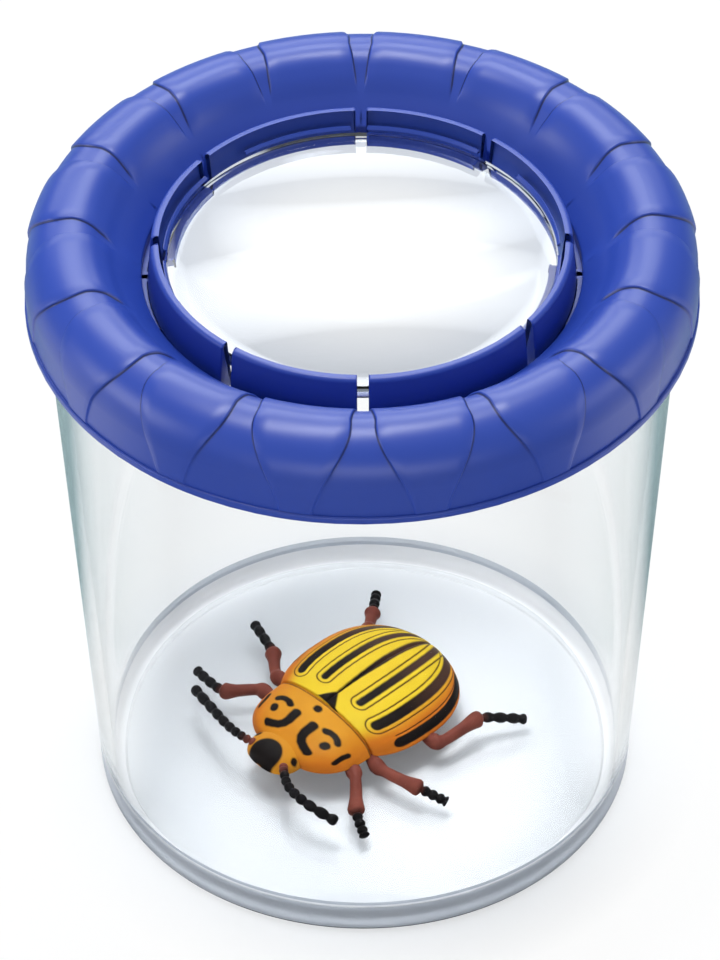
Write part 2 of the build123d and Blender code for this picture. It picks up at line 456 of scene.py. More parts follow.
def blue_plastic():
    """Satin moulded plastic with a faint mottle and moulding grain, and painted shade in the creases of
    the pads.
    """
    material, shader, tree = new_material("blue_plastic")
    colour = mixed(tree, noise(tree, 60), (0.018, 0.052, 0.350), (0.024, 0.065, 0.400))
    # Painted shade: a dark blue line in the creases along one edge of each grip pad
    shaded_creases = mixed(tree, attribute(tree, "pad_crease_shade"), colour, (0.006, 0.016, 0.115))
    set_surface(tree, shader, shaded_creases, noise(tree, 180), 0.30, 0.40)
    shader.inputs["Specular IOR Level"].default_value = 0.6
    bump(tree, shader, noise(tree, 900, 4), 0.12, 0.05)
    return material


def clear_plastic(name, tint, edge_tint, ripple, gloss):
    """Clear moulding: faint flow streaks, and a tint that deepens where the wall is seen edge-on."""
    material, shader, tree = new_material(name)
    upright = (1, 1, 0.12)
    streaks = mixed(tree, noise(tree, 45, 2, upright), tint, (1.0, 1.0, 1.0))
    pale_edge = tuple(0.75 + 0.25 * value for value in edge_tint)
    turned = mixed(tree, facing(tree, 0.45, 0.85), streaks, pale_edge)
    colour = mixed(tree, facing(tree, 0.74, 0.96), turned, edge_tint)
    set_surface(tree, shader, colour, noise(tree, 90), 0.0, 0.02)
    set_clear(shader, cup_index)
    shader.inputs["Specular Tint"].default_value = (gloss, gloss, gloss, 1)
    bump(tree, shader, noise(tree, 70, 1, upright), ripple, 0.4)
    return material


def lens_plastic():
    """Polished lens with painted shade that greys it a little towards its rim."""
    material, shader, tree = new_material("lens_acrylic")
    clear = mixed(tree, noise(tree, 60), (0.975, 0.98, 0.985), (1.0, 1.0, 1.0))
    # Painted shade: grey towards the rim of the lens
    colour = mixed(tree, attribute(tree, "rim"), clear, (0.74, 0.78, 0.85))
    set_surface(tree, shader, colour, noise(tree, 90), 0.0, 0.02)
    set_clear(shader, lens_index)
    shader.inputs["Specular Tint"].default_value = (0.9, 0.9, 0.9, 1)
    bump(tree, shader, noise(tree, 50), 0.003, 0.2)
    return material


def frosted_plastic(name, dark, light, clear):
    """Rough, part-clear plastic for the thick parts of the cup's foot, coloured with painted shade and
    painted glints.
    """
    material, shader, tree = new_material(name)
    colour = mixed(tree, noise(tree, 120), dark, light)
    set_surface(tree, shader, colour, noise(tree, 200), 0.42, 0.55)
    set_clear(shader, cup_index, clear)
    bump(tree, shader, noise(tree, 300, 2), 0.05, 0.1)
    return material


def painted_shell():
    """Beetle paint: yellow turning orange down the sides, dark stripes browned at the rear top by painted
    sheen, painted shade in engraved lines.
    """
    material, shader, tree = new_material("beetle_shell_paint")
    mottle = noise(tree, 350, 4)
    yellow = mixed(tree, mottle, (0.60, 0.395, 0.015), (0.72, 0.525, 0.028))
    orange = mixed(tree, mottle, (0.45, 0.108, 0.008), (0.61, 0.188, 0.016))
    ground = mixed(tree, attribute(tree, "side"), yellow, orange)
    # Painted shade: dark lines in the engraved grooves and along the pronotum's rear seam
    line = ranged(tree, attribute(tree, "line"), 0.9, 0.0, 0.04, 0.13)
    lined = mixed(tree, line, ground, (0.05, 0.018, 0.006))
    black = mixed(tree, mottle, (0.002, 0.0015, 0.0015), (0.010, 0.006, 0.005))
    # Painted sheen: the dark stripes turn brown towards the rear top of the wing case
    dark = mixed(tree, attribute(tree, "rear"), black, (0.055, 0.026, 0.018))
    ink = ranged(tree, attribute(tree, "ink"), 1.0, 0.0, -0.10, 0.08)
    set_surface(tree, shader, mixed(tree, ink, lined, dark), mottle, 0.30, 0.46)
    shader.inputs["Specular IOR Level"].default_value = paint_specular
    bump(tree, shader, noise(tree, 1400), 0.25, 0.04)
    return material


def leg_paint():
    """Red-brown limbs that turn black towards their tips."""
    material, shader, tree = new_material("beetle_leg_paint")
    mottle = noise(tree, 500, 4)
    brown = mixed(tree, mottle, (0.11, 0.026, 0.018), (0.26, 0.072, 0.050))
    black = mixed(tree, mottle, (0.003, 0.003, 0.003), (0.012, 0.010, 0.011))
    set_surface(tree, shader, mixed(tree, attribute(tree, "tip"), brown, black), mottle, 0.28, 0.44)
    shader.inputs["Specular IOR Level"].default_value = paint_specular
    bump(tree, shader, noise(tree, 1600), 0.3, 0.05)
    return material


# Cup and lens

def cup_radius(height):
    """Outside radius of the cup at a height."""
    return cup_base_radius + height * math.tan(math.radians(cup_draft_angle))


def cup_materials():
    """Wall, then the foot's painted shade, its lower edge's painted shadow, the inner corner's painted
    glint, and floor.
    """
    wall_tint = (0.95, 0.97, 0.98)
    wall_edge = (0.34, 0.44, 0.45)
    floor_tint = (0.95, 0.975, 0.985)
    floor_edge = (0.75, 0.82, 0.84)
    return [
        clear_plastic("clear_cup_plastic", wall_tint, wall_edge, ripple=0.04, gloss=0.12),
        # Painted shade on the foot band, a painted shadow at its lower edge, a painted glint on the inner
        # corner
        frosted_plastic("cup_foot_painted_shade", (0.46, 0.50, 0.57), (0.54, 0.58, 0.64), clear=0.5),
        frosted_plastic("cup_foot_edge_painted_shadow", (0.03, 0.035, 0.05), (0.05, 0.055, 0.07), clear=0.1),
        frosted_plastic("cup_corner_glint", (0.96, 0.97, 0.98), (0.99, 0.99, 1.0), clear=0.25),
        clear_plastic("cup_floor_plastic", floor_tint, floor_edge, ripple=0.0015, gloss=0.06),
    ]


def cup_slot(face):
    """Slot of a face of the cup: the wall's is the first; the foot's painted shade, shadow and glint have
    their own.
    """
    height = face.center.z / MM
    outward = face.normal.x * face.center.x + face.normal.y * face.center.y
    outside = outward > 0 and math.hypot(face.center.x, face.center.y) > foot_inside * MM
    # Outside the foot: painted shade on the band, and a painted shadow line at its lower edge
    if outside and height < foot_band_top:
        return foot_edge_shadow_slot if height < foot_edge_top else foot_shade_slot
    if height < floor_slot_top and abs(face.normal.z) > flat_normal:
        return floor_slot
    # Inside the foot: a painted glint on the inner corner, with a thin line of painted shade above it
    if height < corner_shade_line_top and not outside:
        return corner_glint_slot if height < corner_glint_top else foot_shade_slot
    return 0


def make_cup():
    """Tapered cup with a thick floor and a foot ring."""
    mouth = cup_radius(cup_height)
    outline, _ = rounded_outline(
        [
            (0, foot_recess, 0),
            (foot_inside - foot_recess, foot_recess, 0),
            (foot_inside, 0, 0),
            (cup_base_radius, 0, cup_outer_corner),
            (cup_radius(foot_band_top), foot_band_top, 0),
            (mouth, cup_height, cup_mouth_round),
            (mouth - cup_wall, cup_height, cup_mouth_round),
            (cup_radius(corner_shade_line_top) - cup_wall, corner_shade_line_top, 0),
            (cup_radius(floor_top) - cup_wall, floor_top, cup_inner_corner),
            (0, floor_top, 0),
        ]
    )
    wall, *others = cup_materials()
    shape = lathe(outline, cup_segments)
    cup = make_piece("cup_moulding", shape, wall, "cup", "clear_cup", 30)
    cup.visible_shadow = False
    for material in others:
        cup.data.materials.append(material)
    for face in cup.data.polygons:
        face.material_index = cup_slot(face)


def crown_points(rise):
    """A lens surface from the axis to the edge of its crown: radius and height above that edge."""
    ball = (lens_crown_radius**2 + rise**2) / (2 * rise)
    angles = np.linspace(0, math.asin(lens_crown_radius / ball), lens_crown_steps)
    return np.stack([ball * np.sin(angles), ball * np.cos(angles) - (ball - rise)], axis=1)


def make_lens():
    """Clear lens, crowned on both sides, with a flat flange."""
    top = lens_seat + lens_edge
    crown = crown_points(lens_crown)
    lower = crown_points(lens_under_crown)
    under = np.stack([lower[:, 0], lens_seat - lower[:, 1]], axis=1)
    over = np.stack([crown[:, 0], top + crown[:, 1]], axis=1)[::-1]
    rim = [
        (lens_radius - lens_corner, lens_seat),
        (lens_radius, lens_seat + lens_corner),
        (lens_radius, top - lens_corner),
        (lens_radius - lens_corner, top),
    ]
    outline = np.concatenate([under, np.array(rim), over])
    shape = lathe(outline, lens_segments)
    radius = np.hypot(shape[0][:, 0], shape[0][:, 1])
    # How far the painted shade greys the lens, from part way out to its edge
    marks = {"rim": smooth_step(lens_rim_shade_start * lens_radius, lens_radius, radius)}
    plastic = lens_plastic()
    lens = make_piece("lens_disc", shape, plastic, "lid", "magnifier_lens", 12, marks)
    lens.visible_shadow = False


# Lid

skirt_inside = cup_radius(cup_height) + skirt_gap
skirt_outside = skirt_inside + skirt_wall
crest_radius = skirt_outside - ring_shoulder
slope_top_radius = crest_radius - ring_crest_flat - ring_inner_round * math.tan(math.pi / 8)


def ring_slope(radius, inset=0.0):
    """Height of the ring's inner slope at a radius, or of a line inset below it."""
    return crest_height - (slope_top_radius - radius) - inset * math.sqrt(2)


def ring_outline():
    """Closed outline of the puffed ring, its skirt, plug and web."""
    bead = skirt_outside + rim_bead_proud
    bead_top = rim_height + rim_bead_height
    under_crest = crest_height - ring_shell
    plug_outside = cup_radius(plug_bottom) - cup_wall - plug_gap
    plug_inside = plug_outside - plug_wall
    under_slope = slope_top_radius + ring_shell * (math.sqrt(2) - 1)
    return rounded_outline(
        [
            (skirt_inside, rim_height, 0),
            (bead, rim_height, rim_bead_round),
            (bead, bead_top, rim_bead_round),
            (skirt_outside, bead_top, 0),
            (skirt_outside, crest_height, ring_shoulder),
            (slope_top_radius, crest_height, ring_inner_round),
            (groove_outside, ring_slope(groove_outside), collar_round),
            (groove_outside, groove_floor, 0),
            (slit_end, groove_floor, 0),
            (slit_end, web_bottom, 0),
            (web_outside, web_bottom, 0),
            (web_outside, ring_slope(web_outside, ring_shell), 0),
            (under_slope, under_crest, ring_inner_round - ring_shell),
            (plug_inside, under_crest, 0),
            (plug_inside, plug_bottom, 0),
            (plug_outside, plug_bottom, 0),
            (plug_outside, cup_height, 0),
            (skirt_inside, cup_height, 0),
        ],
        run_step=0.5,
    )


def pad_columns():
    """Columns across one pad: shares of pad, edge and valley passed on the way, relief, and side."""
    half = [(0.35, 0, 0, 1.0), (0.7, 0, 0, 1.0), (1, 0, 0, 1.0)]
    half += [(1, share, 0, 1 - smooth_step(0, 1, share)) for share in (0.2, 0.4, 0.6, 0.8, 1.0)]
    half += [(1, 1, 0.06, 0.0), (1, 1, 0.45, 0.0)]
    left = [(*column, -1) for column in reversed(half)]
    right = [(*column, 1) for column in half]
    return left + [(0, 0, 0, 1.0, 1)] + right + [(1, 1, 1, 0.0, 1)]


def make_ring():
    """Puffed ring whose mesh columns follow the edges of the grip pads."""
    outline, owners = ring_outline()
    across, up = outline[:, 0], outline[:, 1]
    normals = outline_normals(outline)
    run = ((up - crest_height + ring_shoulder) - (across - skirt_outside)) / math.sqrt(2)
    cubic = np.polyfit(pad_runs, pad_half_widths, 3)
    half_width = np.where(run > pad_runs[-1], pad_half_widths[-1], np.polyval(cubic, run))
    outer = (owners >= 3) & (owners <= 6)
    proud = np.where(outer, smooth_step(pad_fade_end, pad_fade_start, across) * pad_proud, 0)
    proud = proud * (pad_rim_share + (1 - pad_rim_share) * smooth_step(*pad_rim_runs, run))
    # Painted shade in the creases along one edge of each pad, fading out towards the rim
    line = smooth_step(0.3, 1.0, proud / pad_proud) * smooth_step(*pad_shade_line_runs, run)
    sector = math.pi / pad_count
    pad_angle = half_width / across
    edge_angle = pad_edge / across
    sections = []
    pad_crease_shade = []
    for pad in range(pad_count):
        for pad_share, edge_share, valley_share, relief, side in pad_columns():
            reach = pad_share * (pad_angle - edge_angle) + edge_share * 2 * edge_angle
            reach = reach + valley_share * (sector - pad_angle - edge_angle)
            turn = sector * (2 * pad + 1) + side * reach
            radius = across + normals[:, 0] * proud * relief
            height = up + normals[:, 1] * proud * relief
            sections.append(np.stack([radius * np.cos(turn), radius * np.sin(turn), height], axis=1))
            pad_crease_shade.append(line * (edge_share > 0.5 and valley_share == 0))
    sections = np.array(sections)
    shape = (sections.reshape(-1, 3), grid_faces(*sections.shape[:2], True, True))
    return shape, np.concatenate(pad_crease_shade)


def swept(outline, start, end, trim):
    """An outline swept round the axis between two angles in degrees, with chamfered ends.

    trim is what the slits take off each end, in millimetres."""
    middle = outline[:, 0].mean()
    first = math.radians(start) + trim / middle
    last = math.radians(end) - trim / middle
    chamfer = finger_chamfer / middle
    steps = max(4, math.ceil(math.degrees(last - first) / 2))
    turns = np.linspace(first + chamfer, last - chamfer, steps)
    inset = outline - outline_normals(outline) * finger_chamfer
    ends = turned_sections(inset, np.array([first, last]))
    body = turned_sections(outline, turns)
    return capped_tube(np.concatenate([ends[:1], body, ends[1:]]))


def make_fingers():
    """Collar of snap fingers: wide ones, and narrow ones with the ledges that carry the lens."""
    collar_lap = collar_inside + moulded_lap
    web_lap = slit_end + moulded_lap
    wall, _ = rounded_outline(
        [
            (collar_inside, web_bottom, collar_foot_round),
            (web_lap, web_bottom, 0),
            (web_lap, groove_floor, 0),
            (collar_outside, groove_floor, collar_root_round),
            (collar_outside, collar_top, collar_round),
            (collar_inside, collar_top, collar_round),
        ]
    )
    ledge, _ = rounded_outline(
        [
            (collar_inside - ledge_lap, lens_seat - ledge_thickness, ledge_round),
            (collar_lap, lens_seat - ledge_thickness, 0),
            (collar_lap, lens_seat, 0),
            (collar_inside - ledge_lap, lens_seat, ledge_round),
        ]
    )
    hook, _ = rounded_outline(
        [
            (collar_inside - hook_lap, hook_bottom, hook_round),
            (collar_lap, hook_bottom, 0),
            (collar_lap, hook_bottom + hook_height, 0),
            (collar_inside, hook_bottom + hook_height, 0),
        ]
    )
    half_slit = slit_width / 2
    group = 360 / finger_groups
    parts = []
    for index in range(finger_groups):
        start = group * index
        narrow = start + wide_finger_angle
        parts.append(swept(wall, start, narrow, half_slit))
        parts.append(swept(wall, narrow, start + group, half_slit))
        parts.append(swept(ledge, narrow, start + group, half_slit))
        parts.append(swept(hook, start + hook_start_angle, start + hook_start_angle + hook_angle, 0))
        parts.append(swept(hook, narrow, start + group, half_slit))
    return parts


def make_grip_ribs():
    """Upright ribs inside the skirt."""
    rib_inside = cup_radius(cup_height) + grip_rib_gap
    bottom = rim_height + rim_bead_height
    rib, _ = rounded_outline(
        [
            (rib_inside, bottom, grip_rib_round),
            (skirt_inside + moulded_lap, bottom, 0),
            (skirt_inside + moulded_lap, cup_height, 0),
            (rib_inside, cup_height, 0),
        ]
    )
    half_angle = math.degrees(grip_rib_width / 2 / rib_inside)
    pitch = 360 / grip_rib_count
    return [
        swept(rib, pitch * (index + 0.5) - half_angle, pitch * (index + 0.5) + half_angle, 0)
        for index in range(grip_rib_count)
    ]


def make_lid():
    """The whole lid moulding."""
    ring, pad_crease_shade = make_ring()
    shape = joined([ring, *make_fingers(), *make_grip_ribs()])
    # Painted shade of the pad creases, on the ring's points only
    marks = {"pad_crease_shade": np.pad(pad_crease_shade, (0, len(shape[0]) - len(pad_crease_shade)))}
    plastic = blue_plastic()
    make_piece("lid_moulding", shape, plastic, "lid", "lid_ring", 40, marks)


# Beetle

def to_cup(points):
    """Points of the beetle's own frame, put in their place in the cup."""
    turn = Matrix.Rotation(math.radians(beetle_heading), 3, "Z")
    return np.asarray(points) @ np.array(turn).T + np.array(beetle_place)


def beetle_piece(name, sections, paint, node, sharp, marks):
    """A piece of the beetle, from its sections in the beetle's own frame."""
    points, faces = capped_tube(sections)
    make_piece(name, (to_cup(points), faces), paint, "beetle", node, sharp, marks)


def wing_sizes(ahead):
    """Half width and height of the wing case at a distance ahead of the beetle's middle."""
    back = np.clip((wing_widest - ahead) / (wing_widest - wing_rear), 0, 1)
    fore_length = 9.5
    fore_height_length = 12
    fore = np.clip((ahead - wing_widest) / fore_length, 0, 1)
    fore_rise = fore * fore_length / fore_height_length
    width = np.where(back > 0, (1 - back**2.4) ** 0.5, (1 - fore**2.6) ** (1 / 2.2))
    height = np.where(back > 0, (1 - back**2.6) ** 0.55, (1 - fore_rise**2) ** 0.5)
    return wing_half_width * width, wing_height * height


def quarter_length(half_width, height):
    """Length of a quarter of an ellipse."""
    spread = ((half_width - height) / (half_width + height)) ** 2
    return math.pi / 4 * (half_width + height) * (1 + spread / 4)


def domed_sections(ahead, half_width, height, columns, lip=0.0):
    """Closed sections of a domed body: an arch from side to side and a hollowed underside."""
    share = np.linspace(-1, 1, columns)
    angle = share * math.pi / 2
    flare = lip * smooth_step(0.9, 1.0, np.abs(share)) * np.sign(share)
    left = np.outer(half_width, np.sin(angle)) + flare
    rise = shell_bottom + np.outer(height, np.cos(angle))
    under_reach = 0.94
    under = np.linspace(under_reach, -under_reach, 9)
    left = np.concatenate([left, np.outer(half_width, under)], axis=1)
    rise = np.concatenate([rise, shell_bottom + 0.08 * np.outer(height, 1 - under**2)], axis=1)
    forward = np.tile(ahead[:, None], (1, left.shape[1]))
    return np.stack([forward, left, rise], axis=2), share


def stripe_distance(ahead, aside, centre, front, rear, half_width):
    """Distance from a stripe with round ends, in millimetres, negative inside it."""
    beyond = np.maximum(np.maximum(ahead - front, rear - ahead), 0)
    return np.hypot(aside - centre, beyond) - half_width


def polyline_distance(ahead, aside, route):
    """Distance from a route of (ahead, aside) points."""
    spot = np.stack([ahead, aside], axis=-1)
    nearest = np.full(ahead.shape, 100.0)
    for start, end in zip(route[:-1], route[1:]):
        start, end = np.array(start), np.array(end)
        run = end - start
        share = np.clip((spot - start) @ run / max(run @ run, 1e-9), 0, 1)
        offset = spot - start - share[..., None] * run
        nearest = np.minimum(nearest, np.linalg.norm(offset, axis=-1))
    return nearest


def shell_marks(sections, **tops):
    """Marks of a shell's top columns. Its underside's columns are plain orange paint."""
    plain = {"ink": 1.0, "line": 1.0, "side": 1.0, "rear": 0.0}
    marks = {}
    for name, top in tops.items():
        under = np.full((top.shape[0], sections.shape[1] - top.shape[1]), plain[name])
        marks[name] = np.concatenate([top, under], axis=1)
    return marks


# Wing stripes on one side: share of the way down the side, front and rear ends, half width
wing_stripes = [
    (0.21, 1.0, -12.2, 0.40),
    (0.50, 1.5, -12.4, 0.62),
    (0.84, 0.2, -10.8, 0.95),
]

# Dark seam between the wing covers: places along it, and half widths there
seam_places = (-12.8, -10.0, -5.0, 0.5, 2.0)
seam_half_widths = (0.20, 0.36, 0.38, 0.16, 0.10)

# Dark wedge at the front of the seam: its tip, and how fast it widens
wedge_tip = 1.5
wedge_slope = 0.56
wedge_side_scale = 0.87

# Engraved lines, darkened with painted shade: their gaps from the first two stripes, and one further down
# the side
stripe_line_gaps = (0.42, 0.45)
side_line_share = 0.71
side_line_front = 0.5


def groove(distance, depth, spread):
    """Depth of a soft groove at a distance from its middle."""
    return depth * np.exp(-((distance / spread) ** 2))


def make_wing_case(paint):
    """Two wing covers as one dome, with the seam, stripes and engraved lines."""
    columns = 321
    rear_turns = np.linspace(math.radians(88), 0, 90)
    back = wing_widest - (wing_widest - wing_rear) * np.sin(rear_turns)
    fore = np.linspace(wing_widest, wing_front, 60)[1:]
    ahead = np.concatenate([back, fore])
    half_width, height = wing_sizes(ahead)
    sections, share = domed_sections(ahead, half_width, height, columns, lip=0.15)
    reach = quarter_length(half_width, height)[:, None]
    forward = np.tile(ahead[:, None], (1, columns))
    down = np.abs(share)[None, :]
    aside = down * reach
    stripes = [
        stripe_distance(forward, aside, centre * reach, front, rear, stripe_half)
        for centre, front, rear, stripe_half in wing_stripes
    ]
    seam = aside - np.interp(forward, seam_places, seam_half_widths)
    wedge = wedge_side_scale * (aside - wedge_slope * (forward - wedge_tip))
    ink = np.minimum.reduce([*stripes, seam, wedge])
    outlines = [np.abs(stripe - gap) for stripe, gap in zip(stripes, stripe_line_gaps)]
    side_line = np.hypot(aside - side_line_share * reach, np.maximum(forward - side_line_front, 0))
    # Lines darkened with painted shade: the stripes' outlines, one down the side, and the seam between
    # the covers
    line = np.minimum.reduce([*outlines, side_line, np.abs(aside)])
    depth = groove(line, 0.05, 0.09) + groove(aside, 0.12, 0.16)
    depth += 0.05 * smooth_step(0.10, -0.10, ink) - 0.16 * smooth_step(0.05, -0.25, wedge)
    angle = share * math.pi / 2
    sections[:, :columns, 1] -= depth * np.sin(angle)
    sections[:, :columns, 2] -= depth * np.cos(angle)
    side = smooth_step(0.40, 0.72, down) * np.ones_like(forward)
    # Where the painted sheen browns the stripes: the rear top of the wing case
    rear = smooth_step(-1.0, -10.0, forward) * smooth_step(0.75, 0.6, down)
    marks = shell_marks(sections, ink=ink, line=line, side=side, rear=rear)
    beetle_piece("beetle_wing_case", sections, paint, "beetle_shell", 50, marks)


# Dark marks of the pronotum on one side, as (ahead, aside) routes, and their half widths
pronotum_marks = [
    ([(9.35, 2.9), (9.2, 2.1), (8.95, 1.45), (8.5, 1.05), (7.9, 0.9), (6.6, 0.9)], 0.44),
    ([(7.6, 2.95), (7.4, 3.0)], 0.46),
    ([(6.2, 1.9), (5.95, 2.25), (5.9, 2.7), (6.0, 3.1), (6.25, 3.4)], 0.38),
    ([(7.9, 5.3), (7.4, 5.1), (6.8, 5.0), (6.2, 5.1)], 0.36),
    ([(4.85, 0.0), (4.6, 0.0)], 0.36),
]

# Pronotum: way from its crest to its side, how far it laps the wing case, its rear line and its front lip
pronotum_reach = 7.2
pronotum_lap = 0.25
pronotum_line = 0.35
pronotum_lip = 0.35


def make_pronotum(paint):
    """Shield behind the head, with its dark marks."""
    columns = 201
    rear_edge = wing_front - pronotum_lap
    seam = wing_front + pronotum_line
    body = np.linspace(rear_edge, pronotum_front, 64)
    lip_turns = np.linspace(0.2, 1.45, 6)
    ahead = np.concatenate([body, pronotum_front + pronotum_lip * np.sin(lip_turns)])
    run = np.clip((ahead - 3.2) / 7.9, 0, 1)
    rise = np.clip((ahead - 2.6) / 9.0, 0, 1)
    shrink = np.concatenate([np.ones(len(body)), np.cos(lip_turns) ** 0.5])
    shrink *= 1 - 0.10 * smooth_step(seam, rear_edge, ahead)
    half_width = pronotum_half_width * (1 - run**3.2) ** (1 / 2.2) * shrink
    height = pronotum_height * (1 - rise**2) ** 0.5 * shrink
    sections, share = domed_sections(ahead, half_width, height, columns, lip=0.12)
    forward = np.tile(ahead[:, None], (1, columns))
    down = np.abs(share)[None, :] * np.ones_like(forward)
    aside = down * pronotum_reach
    distances = [polyline_distance(forward, aside, route) - half for route, half in pronotum_marks]
    ink = np.minimum.reduce(distances)
    # Painted shade along the seam behind the pronotum
    line = np.abs(forward - seam)
    side = 0.7 + 0.25 * smooth_step(0.3, 0.85, down) + 0.1 * smooth_step(6.0, 9.5, forward)
    marks = shell_marks(sections, ink=ink, line=line, side=np.clip(side, 0, 1))
    beetle_piece("beetle_pronotum", sections, paint, "beetle_shell", 60, marks)


# Dark marks of the head: middle, half length and half width of the face, and a spot on each side
face_middle = 12.6
face_half_length = 1.9
face_half_width = 2.0
face_softness = 1.6
side_spot = [(10.9, 2.9), (11.1, 3.0)]
side_spot_radius = 0.35


def make_head(paint):
    """Head with a dark face and orange sides."""
    columns = 121
    turn = np.linspace(math.radians(-60), math.radians(86), 48)
    ahead = head_middle + (head_front - head_middle) * np.sin(turn)
    half_width = head_half_width * np.cos(turn) ** 0.75
    height = head_height * np.cos(turn) ** 0.6
    sections, _ = domed_sections(ahead, half_width, height, columns)
    forward = np.tile(ahead[:, None], (1, columns))
    aside = sections[:, :columns, 1]
    face = np.hypot((forward - face_middle) / face_half_length, aside / face_half_width) - 1
    spot = polyline_distance(forward, np.abs(aside), side_spot) - side_spot_radius
    ink = np.minimum(face * face_softness, spot)
    side = np.full_like(forward, 0.75)
    marks = shell_marks(sections, ink=ink, line=np.ones_like(forward), side=side)
    beetle_piece("beetle_head", sections, paint, "beetle_shell", 60, marks)


def smooth_route(route, per_run, ease=0.5):
    """Points along a line through a route's points; less ease keeps its runs straighter."""
    spots = [np.array(point, float) for point in route]
    last = len(spots) - 1
    after = [*spots[1:], spots[-1]]
    before = [spots[0], *spots[:-1]]
    slopes = [ease * (ahead - behind) for ahead, behind in zip(after, before)]
    line = []
    for index in range(last):
        for step in range(per_run):
            t = step / per_run
            rise = t * t * (3 - 2 * t)
            line.append(
                (1 - rise) * spots[index] + rise * spots[index + 1]
                + t * (1 - t) ** 2 * slopes[index] - t * t * (1 - t) * slopes[index + 1]
            )
    line.append(spots[-1])
    return np.array(line)


def limb_sections(line, radii):
    """Round sections along a line, with a radius at each of its points."""
    tangent = np.gradient(line, axis=0)
    tangent /= np.linalg.norm(tangent, axis=1, keepdims=True)
    side = np.cross(tangent, (0, 0, 1.0))
    side /= np.linalg.norm(side, axis=1, keepdims=True)
    over = np.cross(side, tangent)
    turns = np.arange(limb_sides) * 2 * math.pi / limb_sides
    across = np.cos(turns)[None, :, None] * side[:, None, :]
    up = np.sin(turns)[None, :, None] * over[:, None, :]
    return line[:, None, :] + radii[:, None, None] * (across + up)


# Routes of the legs and antennae in the beetle's own frame: ahead, to the left, and above the floor
leg_routes = [
    [(5.6, 3.0, 1.65), (6.3, 7.6, 1.65), (10.0, 11.9, 1.3), (11.3, 14.6, 0.5)],
    [(2.0, 3.5, 1.65), (3.8, 8.8, 1.65), (2.6, 14.2, 1.5), (1.2, 17.0, 0.5)],
    [(-4.0, 3.5, 1.65), (-3.6, 10.4, 1.65), (-9.5, 11.2, 1.9), (-14.1, 13.9, 0.5)],
    [(5.6, -3.0, 1.65), (5.1, -8.9, 1.65), (8.2, -12.1, 1.4), (7.7, -17.3, 0.5)],
    [(2.0, -3.5, 1.65), (2.4, -9.3, 1.65), (0.1, -12.7, 1.6), (-2.1, -18.3, 0.5)],
    [(-4.0, -3.5, 1.65), (-10.3, -7.9, 1.65), (-12.8, -9.8, 1.3), (-15.7, -12.3, 0.5)],
]
antenna_routes = [
    [(11.8, 2.2, 2.9), (12.9, 3.4, 3.4), (14.1, 5.6, 3.4), (14.1, 8.5, 3.0), (13.1, 12.1, 2.2)],
    [(11.8, -2.0, 2.9), (12.6, -3.2, 3.5), (12.8, -5.6, 3.6), (12.1, -9.3, 3.2), (11.0, -13.8, 2.4)],
]


# A leg's radii at places along its route, where whole numbers are the route's points
leg_places = (0, 0.7, 0.9, 1.05, 1.2, 1.6, 1.88, 1.98, 2.08, 3.0)
leg_radii = (0.60, 0.70, 0.92, 0.88, 0.64, 0.70, 0.98, 0.88, 0.34, 0.36)
leg_foot_start = 2.08
leg_foot_beads = 4
leg_bead_height = 0.26
leg_dark_places = (1.92, 2.2)
bead_fullness = 0.7

# An antenna's beads, and the shares of its length over which it turns black
antenna_beads = 11
antenna_radius = 0.30
antenna_bead_height = 0.24
antenna_dark_places = (0.14, 0.34)


def make_leg(name, route, paint):
    """Leg with a thick thigh, a shin that flares at its end and a beaded foot."""
    line = smooth_route(route, 28, ease=0.3)
    place = np.linspace(0, 3, len(line))
    foot = np.clip((place - leg_foot_start) / (3 - leg_foot_start), 0, 1)
    beads = np.abs(np.sin(foot * leg_foot_beads * math.pi)) ** bead_fullness
    radii = np.interp(place, leg_places, leg_radii) + leg_bead_height * beads * (foot > 0)
    radii[-1] *= 0.6
    marks = {"tip": np.repeat(smooth_step(*leg_dark_places, place), limb_sides)}
    sections = limb_sections(line, radii)
    beetle_piece(name, sections, paint, "beetle_legs", limb_sharp, marks)


def make_antenna(name, route, paint):
    """Antenna of small beads that thicken towards the tip."""
    line = smooth_route(route, 40)
    place = np.linspace(0, 1, len(line))
    beads = np.abs(np.sin(place * antenna_beads * math.pi)) ** bead_fullness
    radii = (antenna_radius + antenna_bead_height * beads) * (0.9 + 0.3 * place)
    marks = {"tip": np.repeat(smooth_step(*antenna_dark_places, place), limb_sides)}
    sections = limb_sections(line, radii)
    beetle_piece(name, sections, paint, "beetle_shell", limb_sharp, marks)


def make_belly(paint):
    """Rounded underside between the legs."""
    sides = 48
    turn = np.linspace(math.radians(-88), math.radians(88), 40)
    ahead = belly_middle + belly_half_length * np.sin(turn)
    half_width = belly_half_width * np.cos(turn)
    angles = np.arange(sides) * 2 * math.pi / sides
    left = np.outer(half_width, np.cos(angles))
    rise = belly_height + belly_half_height * np.sin(angles)[None, :] * np.cos(turn)[:, None] ** 0.4
    forward = np.tile(ahead[:, None], (1, sides))
    sections = np.stack([forward, left, rise], axis=2)
    marks = {"tip": np.zeros(sections.shape[:2])}
    beetle_piece("beetle_belly", sections, paint, "beetle_legs", limb_sharp, marks)


def make_beetle():
    """The toy beetle on the cup's floor."""
    shell_paint = painted_shell()
    limb_paint = leg_paint()
    make_wing_case(shell_paint)
    make_pronotum(shell_paint)
    make_head(shell_paint)
    make_belly(limb_paint)
    for index, route in enumerate(leg_routes):
        make_leg(f"beetle_leg_{index + 1}", route, limb_paint)
    for index, route in enumerate(antenna_routes):
        make_antenna(f"beetle_antenna_{index + 1}", route, limb_paint)


# Stage, light and camera

